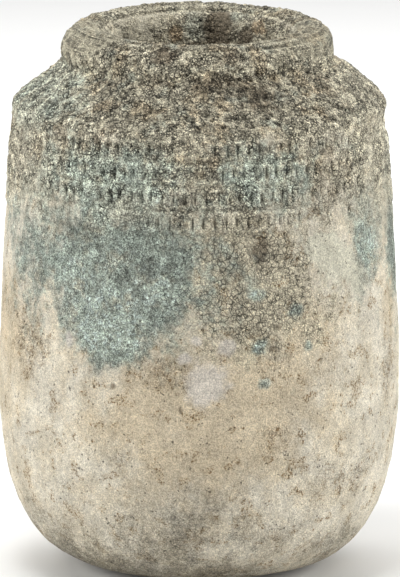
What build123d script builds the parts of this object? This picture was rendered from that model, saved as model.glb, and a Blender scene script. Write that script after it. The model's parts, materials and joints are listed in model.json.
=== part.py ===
from build123d import *
import math
import os

# A storage jar of coarse fired clay, built up in rings as a potter builds it.
# Each ring was left to stiffen, its lip was cut to a bevel, and the next was luted on.
# A plain cordon hides the joint at the shoulder, and impressed strips lie below it.
# Millimetres and degrees, +Z up. The origin is the centre of the flat under the jar.

# Outer profile: a radius, a height and the lean of the wall there (90 is upright)
FLAT_R = 86.0
FOOT_LEAN = 12.0
HEEL_R = 137.0
HEEL_Z = 20.0
HEEL_LEAN = 38.0
LOWER_R = 173.0
LOWER_Z = 80.0
LOWER_LEAN = 73.5
BELLY_SWELL = 11.0
BELLY_R = LOWER_R + BELLY_SWELL
BELLY_Z = 165.0
BELLY_LEAN = 90.3
SHOULDER_DRAW_IN = 13.5
SHOULDER_R = BELLY_R - SHOULDER_DRAW_IN
SHOULDER_Z = 431.5
SHOULDER_LEAN = 94.0
SHOULDER_RISE = 37.5

# Thickness of the clay, square to the surface
BASE_WALL = 20.0
HEEL_WALL = 18.0
BODY_WALL = 14.0
SHOULDER_WALL = 15.0

# Mouth: a throat ring with a rolled lip lapped over it
THROAT_R = 79.0
LIP_WIDTH = 47.5
LIP_RISE = 24.0
LIP_UNDER = 11.0
LIP_OVERHANG = 0.5

# Soft grooves left where the lip was folded, at angles round its oval section
FOLD_COUNT = 4
FOLD_START = 52.0
FOLD_STEP = 25.3
FOLD_RADIUS = 4.0
FOLD_DEPTH = 1.6

# Ridges of the coils on the slope of the shoulder
COIL_COUNT = 5
COIL_RISE = 1.3

# Rings up to the shoulder, with joints that fall outwards, and the slab that they start on
SLAB_MARGIN = 30.0
SLAB_BEVEL = 37.0
HEEL_RING_H = 100.0
LOWER_RING_H = 90.0
MIDDLE_RING_H = 93.0
SCARF = 28.0

# Cordon on the shoulder's corner, seated on a flat land cut from it
LAND = 3.5
CORDON_PROUD = 2.0

# Impressed strips, pressed into the wall below the cordon
STRIP_COUNT = 4
STRIP_MARGIN = 2.0
STRIP_H = 21.3
STRIP_GAP = 0.5
STRIP_SEAT = 3.0
STRIP_PROUD = 1.6
STRIP_EDGE = 1.4

# Dents of the strips: lozenge-shaped chips, each row set off sideways from the last
DENT_PITCH = 10.2
DENT_LENGTH = 16.4
DENT_WIDTH = 4.6
DENT_DEPTH = 2.7
ROW_SHIFT = 0.37

PARTS_FOLDER = "parts"


def heading(angle):
    """Unit vector in the section plane, at an angle from level."""
    return Vector(math.cos(math.radians(angle)), math.sin(math.radians(angle)))


def inward(direction):
    """Unit vector square to a wall that runs upwards along direction, into the jar."""
    return Vector(-direction.Y, direction.X)


def meet(point, direction, other_point, other_direction):
    """Where two lines of the section plane cross."""
    gap = other_point - point
    turn = direction.X * other_direction.Y - direction.Y * other_direction.X
    return point + direction * ((gap.X * other_direction.Y - gap.Y * other_direction.X) / turn)


def turned(section):
    """A solid of revolution about +Z from a section drawn as (radius, height)."""
    return revolve(Plane.XZ * section, axis=Axis.Z)


# Straight runs of the upper profile
wall_up = heading(SHOULDER_LEAN)
wall_in = inward(wall_up)
corner = Vector(SHOULDER_R, SHOULDER_Z)
crease = Vector(THROAT_R + LIP_WIDTH - LIP_OVERHANG, SHOULDER_Z + SHOULDER_RISE)
slope_up = (crease - corner).normalized()
slope_in = inward(slope_up)
land_low = corner - wall_up * LAND
land_high = corner + slope_up * LAND
land_in = inward((land_high - land_low).normalized())
inner_corner = meet(
    corner + wall_in * BODY_WALL, wall_up, corner + slope_in * SHOULDER_WALL, slope_up
)
throat_foot = crease + slope_in * SHOULDER_WALL
strip_step = STRIP_H + STRIP_GAP
strips_top = land_low - wall_up * STRIP_MARGIN
strips_foot = strips_top - wall_up * (STRIP_COUNT * strip_step - STRIP_GAP)
straight_foot = strips_foot - wall_up * STRIP_MARGIN
lip_centre = Vector(THROAT_R + LIP_WIDTH / 2, crease.Y + LIP_UNDER)

# How far the lines of a drawing run past the clay
reach = BELLY_R
far_r = BELLY_R + reach


def wall_stations():
    """Points of the curved wall from the foot up, as (outer point, inner point, tangent)."""
    sizes = [
        (FLAT_R, 0.0, FOOT_LEAN, BASE_WALL),
        (HEEL_R, HEEL_Z, HEEL_LEAN, HEEL_WALL),
        (LOWER_R, LOWER_Z, LOWER_LEAN, BODY_WALL),
        (BELLY_R, BELLY_Z, BELLY_LEAN, BODY_WALL),
        (straight_foot.X, straight_foot.Y, SHOULDER_LEAN, BODY_WALL),
    ]
    stations = []
    for radius, height, lean, wall in sizes:
        outer = Vector(radius, height)
        along = heading(lean)
        stations.append((outer, outer + inward(along) * wall, along))
    return stations


def wall_section():
    """The whole wall from the middle of the base up to the throat, before it is cut."""
    stations = wall_stations()
    tangents = [along for _, _, along in stations]
    outer = Spline(*[point for point, _, _ in stations], tangents=tangents)
    inner = Spline(*[point for _, point, _ in stations], tangents=tangents)
    foot, floor_edge = stations[0][0], stations[0][1]
    floor = Vector(0, floor_edge.Y)
    straight = [
        (Vector(0, 0), foot),
        (straight_foot, land_low),
        (land_low, land_high),
        (crease, throat_foot),
        (throat_foot, inner_corner),
        (inner_corner, stations[-1][1]),
        (floor_edge, floor),
        (floor, Vector(0, 0)),
    ]
    lines = [Line(start, end) for start, end in straight]
    return make_face([outer, inner] + coil_ridges() + lines) - strip_bed()


def coil_ridges():
    """The slope of the shoulder, which still shows the coils that it was built of."""
    step = (crease - land_high) * (1 / COIL_COUNT)
    ridges = []
    for place in range(COIL_COUNT):
        start = land_high + step * place
        crown = start + step * 0.5 - slope_in * COIL_RISE
        ridges.append(ThreePointArc(start, crown, start + step))
    return ridges


def outline(*points):
    """A flat face with straight sides."""
    return make_face(Polyline(*points, close=True))


def scarf(height):
    """Ends of a bevelled joint that falls outwards and crosses the belly's radius at height."""
    fall = math.tan(math.radians(SCARF))
    return Vector(0, height + fall * BELLY_R), Vector(far_r, height - fall * reach)


def mitre():
    """Ends of the joint through the shoulder's corner, hidden by the cordon."""
    run = (corner - inner_corner).normalized()
    start = inner_corner - run * (inner_corner.X / run.X)
    return start, corner + run * (reach / run.X)


def slab_zone():
    """The part of the section that the base slab takes, with a bevelled edge."""
    edge_r = FLAT_R + SLAB_MARGIN
    depth = 2 * BASE_WALL
    draw_in = depth * math.tan(math.radians(SLAB_BEVEL))
    return outline((0, -depth), (edge_r + draw_in, -depth), (edge_r - draw_in, depth), (0, depth))


def ring_zone(lower, upper):
    """The part of the section between two joints, each given by its two ends."""
    return outline(lower[0], lower[1], upper[1], upper[0])


def strip_bed():
    """The shallow bed that the strips are pressed into."""
    seat = wall_in * STRIP_SEAT
    out = wall_in * -reach
    return outline(strips_foot + seat, strips_top + seat, strips_top + out, strips_foot + out)


def body_rings():
    """The base slab and the rings of the wall up to the shoulder."""
    wall = wall_section()
    below = (Vector(0, -reach), Vector(far_r, -reach))
    above = (Vector(0, crease.Y + reach), Vector(far_r, crease.Y + reach))
    heel = scarf(HEEL_RING_H)
    lower = scarf(HEEL_RING_H + LOWER_RING_H)
    middle = scarf(HEEL_RING_H + LOWER_RING_H + MIDDLE_RING_H)
    return {
        "base_slab": turned(wall & slab_zone()),
        "heel_ring": turned((wall & ring_zone(below, heel)) - slab_zone()),
        "lower_wall_ring": turned(wall & ring_zone(heel, lower)),
        "middle_wall_ring": turned(wall & ring_zone(lower, middle)),
        "upper_wall_ring": turned(wall & ring_zone(middle, mitre())),
        "shoulder_ring": turned(wall & ring_zone(mitre(), above)),
    }


def throat_ring():
    """The upright ring inside the mouth, with a flange that the rolled lip sits on."""
    return turned(
        outline(
            (THROAT_R, throat_foot.Y),
            throat_foot,
            crease,
            (lip_centre.X, crease.Y),
            lip_centre,
            (THROAT_R, lip_centre.Y),
        )
    )


def fold_groove(angle):
    """A soft groove along the lip, at an angle round its section from the outside."""
    aim = heading(angle)
    spot = lip_centre + Vector(aim.X * LIP_WIDTH / 2, aim.Y * LIP_RISE)
    outwards = Vector(aim.X * LIP_RISE, aim.Y * LIP_WIDTH / 2).normalized()
    middle = spot + outwards * (FOLD_RADIUS - FOLD_DEPTH)
    return Pos(middle.X, middle.Y) * Circle(FOLD_RADIUS)


def rim_roll():
    """The lip, rolled outwards over the throat ring and lapped down onto its flange."""
    oval = Pos(lip_centre.X, lip_centre.Y) * Ellipse(LIP_WIDTH / 2, LIP_RISE)
    under_seat = outline((0, 0), (far_r, 0), (far_r, crease.Y), (0, crease.Y))
    over_throat = outline((0, 0), (lip_centre.X, 0), lip_centre, (0, lip_centre.Y))
    folds = [fold_groove(FOLD_START + FOLD_STEP * place) for place in range(FOLD_COUNT)]
    return turned(oval - under_seat - over_throat - folds)


def shoulder_cordon():
    """A plain half-round coil on the land of the shoulder's corner."""
    crown = (land_low + land_high) * 0.5 - land_in * CORDON_PROUD
    return turned(make_face([Line(land_low, land_high), ThreePointArc(land_low, crown, land_high)]))


def dent(face_point):
    """A cutter for one four-sided chip, on the side of the jar that faces +X.

    It is drawn at twice the chip's size from the tip, so that its open end stands clear.
    """
    across = Vector(0, 1, 0)
    upwards = Vector(wall_up.X, 0, wall_up.Y)
    outwards = Vector(-wall_in.X, 0, -wall_in.Y)
    middle = Vector(face_point.X, 0, face_point.Y)
    open_end = middle + outwards * DENT_DEPTH
    tip = middle - outwards * DENT_DEPTH
    tall = upwards * DENT_LENGTH
    wide = across * DENT_WIDTH
    lozenge = Wire.make_polygon([open_end + tall, open_end + wide, open_end - tall, open_end - wide])
    return Solid.make_loft([lozenge, Vertex(*tip)], ruled=True)


def impressed_strip(row):
    """One clay strip with a row of dents, counted from the top row."""
    top = strips_top - wall_up * (row * strip_step)
    foot = top - wall_up * STRIP_H
    seat = wall_in * STRIP_SEAT
    crest = wall_in * -STRIP_PROUD
    shy = wall_in * (STRIP_EDGE - STRIP_PROUD)
    edge = wall_up * STRIP_EDGE
    strip = turned(
        outline(foot + seat, top + seat, top + shy, top - edge + crest, foot + edge + crest, foot + shy)
    )
    face_point = (top + foot) * 0.5 + crest
    count = round(2 * math.pi * face_point.X / DENT_PITCH)
    turn = 360 / count
    chip = dent(face_point)
    return strip - [Rot(0, 0, turn * (place + ROW_SHIFT * row)) * chip for place in range(count)]


def main():
    os.makedirs(PARTS_FOLDER, exist_ok=True)
    pieces = body_rings()
    pieces["throat_ring"] = throat_ring()
    pieces["rim_roll"] = rim_roll()
    pieces["shoulder_cordon"] = shoulder_cordon()
    for row in range(STRIP_COUNT):
        pieces[f"impressed_strip_{row + 1}"] = impressed_strip(row)
    for name, piece in pieces.items():
        export_step(piece, os.path.join(PARTS_FOLDER, f"{name}.step"))


main()
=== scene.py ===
import json
import math

import bmesh
import bpy
import numpy as np
from bpy.props import FloatProperty, FloatVectorProperty, IntProperty, PointerProperty
from bpy.types import Operator, Panel, PropertyGroup
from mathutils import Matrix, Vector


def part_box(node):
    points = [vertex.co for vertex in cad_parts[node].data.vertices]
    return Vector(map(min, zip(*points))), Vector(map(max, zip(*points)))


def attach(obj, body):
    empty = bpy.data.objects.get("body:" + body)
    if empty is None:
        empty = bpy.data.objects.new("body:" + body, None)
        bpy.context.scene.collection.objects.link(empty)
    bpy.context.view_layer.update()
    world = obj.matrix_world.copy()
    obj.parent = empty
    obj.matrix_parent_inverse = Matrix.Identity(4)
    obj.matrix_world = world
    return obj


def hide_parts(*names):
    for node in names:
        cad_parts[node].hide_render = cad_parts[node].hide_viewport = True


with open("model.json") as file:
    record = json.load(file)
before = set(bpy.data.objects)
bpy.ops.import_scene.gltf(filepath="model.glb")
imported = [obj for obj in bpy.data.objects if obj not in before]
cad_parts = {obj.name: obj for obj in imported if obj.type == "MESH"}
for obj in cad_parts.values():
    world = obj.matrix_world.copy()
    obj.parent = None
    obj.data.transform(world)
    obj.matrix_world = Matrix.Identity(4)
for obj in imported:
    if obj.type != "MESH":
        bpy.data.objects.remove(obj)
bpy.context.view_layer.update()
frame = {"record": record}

bl_info = {
    "name": "Weathered Storage Jar",
    "version": (1, 0, 0),
    "blender": (4, 5, 0),
    "location": "3D View > Sidebar > Jar",
    "description": "A coil-built storage jar with impressed strips, decayed glaze and a burial crust",
    "category": "Object",
}

MM = 0.001

STRIPS = ("impressed_strip_1", "impressed_strip_2", "impressed_strip_3", "impressed_strip_4")
SLOTS = {
    "base_slab": "bare_clay",
    "heel_ring": "bare_clay",
    "lower_wall_ring": "bare_clay",
    "middle_wall_ring": "weathered_glaze",
    "upper_wall_ring": "weathered_glaze",
    **dict.fromkeys(STRIPS, "glaze_crust"),
    "shoulder_cordon": "glaze_crust",
    "shoulder_ring": "glaze_crust",
    "rim_roll": "lime_crust",
    "throat_ring": "lime_crust",
}


def bottom(node):
    """Height of a CAD node's lowest point."""
    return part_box(node)[0].z


def top(node):
    """Height of a CAD node's highest point."""
    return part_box(node)[1].z


def reach(node):
    """Largest radius of a CAD node."""
    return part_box(node)[1].x


def mount_size(name, size):
    """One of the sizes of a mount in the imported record, in metres."""
    mount = next(m for m in frame["record"]["mounts"] if m["name"] == name)
    return mount["dims"][size] * MM


def length(name, default, description):
    """A length in metres."""
    return FloatProperty(
        name=name, default=default, description=description, unit="LENGTH", subtype="DISTANCE", precision=4
    )


def slant(name, degrees, description):
    """An angle, given in degrees."""
    return FloatProperty(
        name=name, default=math.radians(degrees), description=description, subtype="ANGLE"
    )


def colour(name, default, description):
    """A linear colour."""
    return FloatVectorProperty(
        name=name, default=(*default, 1), description=description, subtype="COLOR", size=4, min=0, max=1
    )


class JarSizes(PropertyGroup):
    flat_radius: length("Flat", 86 * MM, "Radius of the flat that the jar stands on")
    heel_radius: length("Heel radius", 137 * MM, "Radius where the wall turns up")
    heel_height: length("Heel height", 20 * MM, "Height of the heel above the floor")
    lower_radius: length("Lower radius", 173 * MM, "Radius of the lower wall")
    lower_height: length("Lower height", 80 * MM, "Height of the lower wall")
    belly_radius: length("Belly radius", reach("lower_wall_ring"), "Largest radius of the wall")
    belly_height: length("Belly height", 165 * MM, "Height of the largest radius")
    shoulder_radius: length("Shoulder radius", 170.5 * MM, "Radius of the shoulder's corner")
    shoulder_height: length("Shoulder height", 431.5 * MM, "Height of the shoulder's corner")
    throat_radius: length("Throat", mount_size("mouth", "r_mm"), "Clear radius of the mouth")
    rim_radius: length("Rim radius", reach("rim_roll"), "Outer radius of the rolled rim")
    rim_height: length("Rim height", top("rim_roll"), "Height of the rim's crest")
    wall: length("Wall", 14 * MM, "Thickness of the wall")
    strip_proud: length("Strip", 1.6 * MM, "How far a strip stands proud of the wall")
    cordon_proud: length("Cordon", 1.0 * MM, "How far the cordon stands proud of the shoulder")
    dent_pitch: length("Dent pitch", 10.2 * MM, "Distance between dents round a strip")
    dent_length: length("Dent length", 17 * MM, "Height of a dent")
    dent_width: length("Dent width", 6.0 * MM, "Width of a dent")
    dent_depth: length("Dent depth", 2.9 * MM, "Depth of a dent")
    coil_count: IntProperty(name="Coils", default=5, min=1, description="Coils that show on the shoulder")
    coil_rise: length("Coil rise", 1.3 * MM, "How far the coils of the shoulder stand proud")
    fold_count: IntProperty(name="Folds", default=4, min=0, description="Grooves along the lip")
    fold_start: slant("First fold", 52, "Angle of the first groove along the lip")
    fold_step: slant("Fold step", 25.3, "Angle between grooves")
    fold_depth: length("Fold depth", 1.6 * MM, "Depth of a groove along the lip")
    fold_width: length("Fold width", 3.2 * MM, "Half width of a groove along the lip")
    segments: IntProperty(
        name="Segments", default=120, min=24, description="Faces round the jar before subdivision"
    )
    levels: IntProperty(
        name="Levels", default=3, min=1, max=3, description="Subdivision levels of the skin"
    )


class JarFinish(PropertyGroup):
    cream: colour("Cream clay", (0.62, 0.575, 0.475), "Pale clay of the lower wall")
    buff: colour("Buff clay", (0.54, 0.47, 0.345), "Darker clay of the lower wall")
    ash: colour("Ash", (0.47, 0.435, 0.345), "Greyed clay of the lower wall")
    tan: colour("Tan", (0.52, 0.43, 0.295), "Stained clay of the belly")
    scab: colour("Scab", (0.42, 0.32, 0.19), "Sandy grains that cling to the clay")
    umber: colour("Umber", (0.60, 0.545, 0.40), "Brown clay where the glaze has gone")
    turquoise: colour("Turquoise", (0.555, 0.66, 0.56), "Glaze that has kept its colour")
    verdigris: colour("Grey glaze", (0.305, 0.35, 0.295), "Glaze that has decayed to grey-green")
    bluish: colour("Bluish glaze", (0.60, 0.715, 0.665), "Brightest remains of the glaze")
    crust: colour("Crust", (0.345, 0.318, 0.232), "Burial crust")
    crust_pale: colour("Pale crust", (0.50, 0.465, 0.355), "Pale grains of the crust")
    lime: colour("Lime", (0.57, 0.53, 0.475), "Lime deposit")
    chalk: colour("Chalk", (0.55, 0.535, 0.43), "Creamy deposit under the strips")
    crumb: colour("Crumbs", (0.22, 0.145, 0.07), "Dark brown crumbs in heaps on the clay")
    # Also the colour of the painted shade under the rim and in the throat
    stain_and_shade: colour("Stain", (0.13, 0.10, 0.065), "Dark brown stain")
    rust: colour("Rust", (0.32, 0.21, 0.11), "Rusty spots in the mouth")
    # Also the colour of the painted shade round the foot
    dirt_and_shade: colour("Dirt", (0.24, 0.215, 0.155), "Grey dirt round the foot")
    inside: colour("Inside", (0.40, 0.35, 0.26), "Bare clay inside the jar")
    floor: colour("Floor", (0.92, 0.92, 0.91), "Studio floor")


class JarStage(PropertyGroup):
    distance: length("Distance", 9.0, "Distance from the camera to the jar")
    elevation: slant("Elevation", 11.3, "Height angle of the camera")
    target: length("Target", 255.7 * MM, "Height that the camera looks at")
    shift: length("Shift", 0.9 * MM, "Sideways offset of the camera's aim")
    frame_height: length("Frame", 530.8 * MM, "Height of the picture at the jar's axis")


class Graph:
    """Adds linked nodes to a node tree."""

    def __init__(self, tree):
        self.tree = tree

    def put(self, kind, values=(), **settings):
        node = self.tree.nodes.new(kind)
        for name, value in settings.items():
            setattr(node, name, value)
        for key, value in dict(values).items():
            if isinstance(value, bpy.types.NodeSocket):
                self.tree.links.new(value, node.inputs[key])
            else:
                node.inputs[key].default_value = value
        return node

    def math(self, operation, first, second=0.0):
        return self.put("ShaderNodeMath", {0: first, 1: second}, operation=operation).outputs[0]

    def add(self, first, second):
        return self.math("ADD", first, second)

    def times(self, first, second):
        return self.math("MULTIPLY", first, second)

    def most(self, first, *others):
        """The largest of the values."""
        for other in others:
            first = self.math("MAXIMUM", first, other)
        return first

    def vector(self, operation, first, second):
        key = "Scale" if operation == "SCALE" else 1
        return self.put("ShaderNodeVectorMath", {0: first, key: second}, operation=operation).outputs[0]

    def less(self, value):
        """One minus the value."""
        return self.put("ShaderNodeMath", {0: 1.0, 1: value}, operation="SUBTRACT").outputs[0]

    def ramp(self, value, low, high, start=0.0, end=1.0):
        """A smooth step from start to end as the value goes from low to high."""
        values = {"Value": value, "From Min": low, "From Max": high, "To Min": start, "To Max": end}
        return self.put("ShaderNodeMapRange", values, interpolation_type="SMOOTHSTEP").outputs[0]

    def noise(self, where, size, detail=2.0, roughness=0.5, seed=0):
        """Cloudy noise with features of about that size in metres."""
        if seed:
            step = (seed * 1.7, seed * 2.3, seed * 3.1)
            where = self.vector("ADD", where, step)
        values = {"Vector": where, "Scale": 1 / size, "Detail": detail, "Roughness": roughness}
        return self.put("ShaderNodeTexNoise", values).outputs["Fac"]

    def cells(self, where, size, output="Distance", feature="F1", randomness=1.0):
        """Cells of about that size in metres."""
        values = {"Vector": where, "Scale": 1 / size, "Randomness": randomness}
        return self.put("ShaderNodeTexVoronoi", values, feature=feature).outputs[output]

    def mix(self, amount, first, second, blend="MIX"):
        values = {0: amount, 6: first, 7: second}
        return self.put("ShaderNodeMix", values, data_type="RGBA", blend_type=blend).outputs[2]


def only(obj):
    """Makes obj the one that is selected and active."""
    bpy.ops.object.select_all(action="DESELECT")
    obj.select_set(True)
    bpy.context.view_layer.objects.active = obj


def smooth(value, low, high):
    """A smooth step from 0 to 1 as the value goes from low to high."""
    t = np.clip((value - low) / (high - low), 0, 1)
    return t * t * (3 - 2 * t)


# Outside of the jar

HUB = 20 * MM  # radius of the first ring round the middle of the base
WALL_LEAN = math.radians(94)
STRIP_GAP = 2 * MM  # from the lowest strip down to the curved wall


def wall_curve(sizes):
    """The curved wall from the edge of the flat up to the straight wall under the strips."""
    foot = bottom("impressed_strip_4") - STRIP_GAP
    rise = sizes.shoulder_height - foot
    stations = [
        (sizes.flat_radius, 0.0, math.radians(12)),
        (sizes.heel_radius, sizes.heel_height, math.radians(38)),
        (sizes.lower_radius, sizes.lower_height, math.radians(73.5)),
        (sizes.belly_radius, sizes.belly_height, math.radians(90.3)),
        (sizes.shoulder_radius - rise / math.tan(WALL_LEAN), foot, WALL_LEAN),
    ]
    points = []
    for (r0, z0, a0), (r1, z1, a1) in zip(stations, stations[1:]):
        chord = math.hypot(r1 - r0, z1 - z0)
        for t in np.linspace(0, 1, 60)[:-1]:
            h0, h1 = 1 - 3 * t**2 + 2 * t**3, 3 * t**2 - 2 * t**3
            d0, d1 = (t - 2 * t**2 + t**3) * chord, (t**3 - t**2) * chord
            r = h0 * r0 + h1 * r1 + d0 * math.cos(a0) + d1 * math.cos(a1)
            z = h0 * z0 + h1 * z1 + d0 * math.sin(a0) + d1 * math.sin(a1)
            points.append((r, z))
    points.append(stations[-1][:2])
    return points


def outside(sizes):
    """The section of the outside as (radius, height, way along it), over the rim and down the throat."""
    crease_r, crease_z = reach("throat_ring"), bottom("rim_roll")
    lip_r = (sizes.throat_radius + sizes.rim_radius) / 2
    lip_z = top("throat_ring")
    half_width, half_height = sizes.rim_radius - lip_r, sizes.rim_height - lip_z
    under = math.asin((crease_z - lip_z) / half_height)
    points = [(0.0, 0.0)] + wall_curve(sizes)
    points += [(sizes.shoulder_radius, sizes.shoulder_height), (crease_r, crease_z)]
    points += [
        (lip_r + half_width * math.cos(a), lip_z + half_height * math.sin(a))
        for a in np.linspace(under, math.pi, 120)
    ]
    points.append((sizes.throat_radius, bottom("throat_ring")))
    r, z = np.array(points).T
    way = np.concatenate([[0], np.cumsum(np.hypot(np.diff(r), np.diff(z)))])
    return r, z, way


def courses(sizes):
    """The pieces in their order along the outside, each as (name, way along to its end, rows of faces)."""
    r, z, way = outside(sizes)
    crest = int(np.argmax(z))
    belly = int(np.argmax(r))

    def at(height):
        return float(np.interp(height, z[1:crest], way[1:crest]))

    def gap(upper, lower):
        return at((bottom(upper) + top(lower)) / 2)

    return [
        ("base_slab", float(np.interp(reach("base_slab"), r[:belly], way[:belly])), 3),
        ("heel_ring", at(bottom("lower_wall_ring")), 10),
        ("lower_wall_ring", at(bottom("middle_wall_ring")), 9),
        ("middle_wall_ring", at(bottom("upper_wall_ring")), 10),
        ("upper_wall_ring", at(bottom("impressed_strip_4")), 5),
        *((lower, gap(upper, lower), 3) for upper, lower in zip(STRIPS[-2::-1], STRIPS[:0:-1])),
        ("impressed_strip_1", at(top("impressed_strip_1")), 3),
        ("shoulder_cordon", at(top("shoulder_cordon")), 2),
        ("shoulder_ring", at(bottom("rim_roll")), 6),
        ("rim_roll", float(way[-2]), 10),
        ("throat_ring", float(way[-1]), 3),
    ]


def throw_skin(sizes):
    """The outside in one skin, drawn up ring by ring from the middle of the base."""
    r, z, way = outside(sizes)
    ways, ends = [HUB], []
    for _, end, rows in courses(sizes):
        ways += list(np.linspace(ways[-1], end, rows + 1)[1:])
        ends.append(end)
    rings = [(float(np.interp(w, way, r)), float(np.interp(w, way, z))) for w in ways]

    bpy.ops.object.select_all(action="DESELECT")
    bpy.ops.mesh.primitive_circle_add(vertices=sizes.segments, radius=rings[0][0], fill_type="TRIFAN")
    skin = bpy.context.object
    skin.name = "skin"
    bpy.ops.object.mode_set(mode="EDIT")
    bpy.ops.mesh.select_mode(type="EDGE")
    bpy.ops.mesh.select_all(action="SELECT")
    bpy.ops.mesh.region_to_loop()
    for (r0, z0), (r1, z1) in zip(rings, rings[1:]):
        bpy.ops.mesh.extrude_edges_move(TRANSFORM_OT_translate={"value": (0, 0, z1 - z0)})
        bpy.ops.transform.resize(value=(r1 / r0, r1 / r0, 1), center_override=(0, 0, 0))
    bpy.ops.mesh.select_all(action="SELECT")
    bpy.ops.mesh.normals_make_consistent(inside=False)
    bpy.ops.object.mode_set(mode="OBJECT")

    mesh = skin.data
    place = points_of(mesh)
    ring = np.hypot(place[:, 0], place[:, 1])
    gap = np.hypot(ring[:, None] - [p[0] for p in rings], place[:, 2:] - [p[1] for p in rings])
    along = np.array(ways)[gap.argmin(axis=1)]
    along[ring < 1e-6] = 0
    keep(mesh, "along", along)
    for polygon in mesh.polygons:
        middle = along[list(polygon.vertices)].mean()
        polygon.material_index = min(int(np.searchsorted(ends, middle)), len(ends) - 1)
    return skin


def points_of(mesh):
    """The places of a mesh's vertices."""
    place = np.empty(len(mesh.vertices) * 3)
    mesh.vertices.foreach_get("co", place)
    return place.reshape(-1, 3)


def keep(mesh, name, values):
    """Stores a number for each vertex."""
    attribute = mesh.attributes.get(name) or mesh.attributes.new(name, "FLOAT", "POINT")
    attribute.data.foreach_set("value", np.ascontiguousarray(values, dtype=np.float32))


def kept(mesh, name):
    """Reads back a stored number for each vertex."""
    values = np.empty(len(mesh.vertices), dtype=np.float32)
    mesh.attributes[name].data.foreach_get("value", values)
    return values.astype(float)


def subdivide(obj, levels):
    """Smooths a mesh by subdivision."""
    only(obj)
    bpy.ops.object.modifier_add(type="SUBSURF")
    modifier = obj.modifiers[-1]
    modifier.levels = levels
    modifier.render_levels = levels
    bpy.ops.object.modifier_apply(modifier=modifier.name)


# Relief, finish and painted light and shade of the skin


class Place:
    """Where each vertex of the skin is: its angle from the front, its height and its way along."""

    def __init__(self, skin, sizes):
        x, y, z = points_of(skin.data).T
        self.radius = np.hypot(x, y)
        self.angle = np.degrees(np.arctan2(x, -y))
        self.height = z / MM
        self.along = kept(skin.data, "along")
        self.ends = ends = {name: end for name, end, _ in courses(sizes)}
        self.outer = self.along < ends["rim_roll"] - 0.25 * (ends["rim_roll"] - ends["shoulder_ring"])

    def away(self, angle):
        """Distance round the jar from an angle, in millimetres."""
        turn = (self.angle - angle + 180) % 360 - 180
        return np.radians(turn) * self.radius / MM

    def patch(self, angle, height, width, tall):
        """1 in the middle of a patch, a half at its edge and 0 well outside it."""
        far = (self.away(angle) / width) ** 2 + ((self.height - height) / tall) ** 2
        return 1 / (1 + far**2)

    def patches(self, rows):
        clear = np.ones_like(self.angle)
        for angle, height, width, tall, amount in rows:
            clear *= 1 - amount * self.patch(angle, height, width, tall)
        return 1 - clear


def hashed(index, seed):
    """A number from 0 to 1 for each index."""
    return np.modf(np.abs(np.sin(index * 12.9898 + seed * 78.233) * 43758.5453))[0]


# Patches of finish and of painted shade on the outside: angle from the front in degrees, height, half width
# and half height in millimetres, and strength
WORN_DENTS = [
    (-3, 408, 20, 22, 0.95), (-62, 385, 34, 50, 0.7), (64, 375, 36, 50, 0.7), (-34, 345, 50, 14, 0.9),
    (40, 345, 30, 14, 0.7),
]
GLAZE = [
    (-24, 302, 78, 54, 1.0), (-25, 246, 36, 26, 1.0), (-26, 384, 68, 34, 0.75), (20, 390, 50, 34, 0.6),
    (60, 325, 28, 44, 0.7), (80, 300, 24, 50, 0.7), (-62, 318, 52, 62, 0.45), (-72, 446, 66, 28, 0.8),
    (16, 298, 13, 12, 0.4), (17, 283, 9, 6, 0.8), (18, 318, 8, 5, 0.6), (19, 203, 8, 7, 0.75),
    (17, 236, 7, 6, 0.7), (33, 233, 5, 6, 0.7), (0, 280, 5, 4, 0.6), (29, 268, 8, 7, 0.6),
    (130, 340, 120, 60, 0.85), (-140, 300, 90, 70, 0.9), (170, 272, 30, 40, 0.7),
    (-172, 296, 44, 24, 0.6),
]
BLUE = [
    (-26, 258, 36, 30, 0.95), (-36, 292, 22, 24, 0.6), (-12, 288, 20, 16, 0.5), (17, 283, 12, 8, 0.9),
    (61, 322, 26, 40, 0.7), (-74, 345, 20, 50, 0.6), (19, 203, 8, 7, 0.8), (17, 236, 7, 6, 0.8),
    (-8, 372, 26, 12, 0.6), (24, 392, 24, 10, 0.6), (150, 330, 60, 40, 0.7), (-140, 290, 50, 40, 0.8),
]
TAN = [
    (0, 168, 105, 72, 0.9), (19, 214, 46, 44, 0.8), (35, 252, 28, 26, 0.7), (-13, 201, 34, 28, 0.7),
    (-73, 237, 60, 40, 0.8), (-78, 180, 40, 60, 0.5), (74, 255, 24, 34, 0.7), (160, 200, 110, 70, 0.8),
    (-120, 160, 60, 60, 0.6),
]
UMBER = [
    (14, 302, 60, 54, 0.95), (12, 245, 40, 30, 0.55), (38, 267, 24, 26, 0.4), (34, 241, 15, 13, 0.5),
    (150, 270, 80, 40, 0.8),
]
CHALK = [
    (36, 322, 12, 12, 1.0), (43, 317, 13, 16, 1.0), (49, 303, 11, 14, 0.9), (54, 286, 15, 18, 0.7),
    (84, 398, 14, 40, 0.6), (42, 300, 20, 26, 0.45),
]
FOLD = [
    (56, 500, 52, 15, 1.0), (88, 488, 40, 18, 0.8), (-72, 494, 50, 18, 0.9), (-160, 500, 50, 14, 0.6),
]
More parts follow.
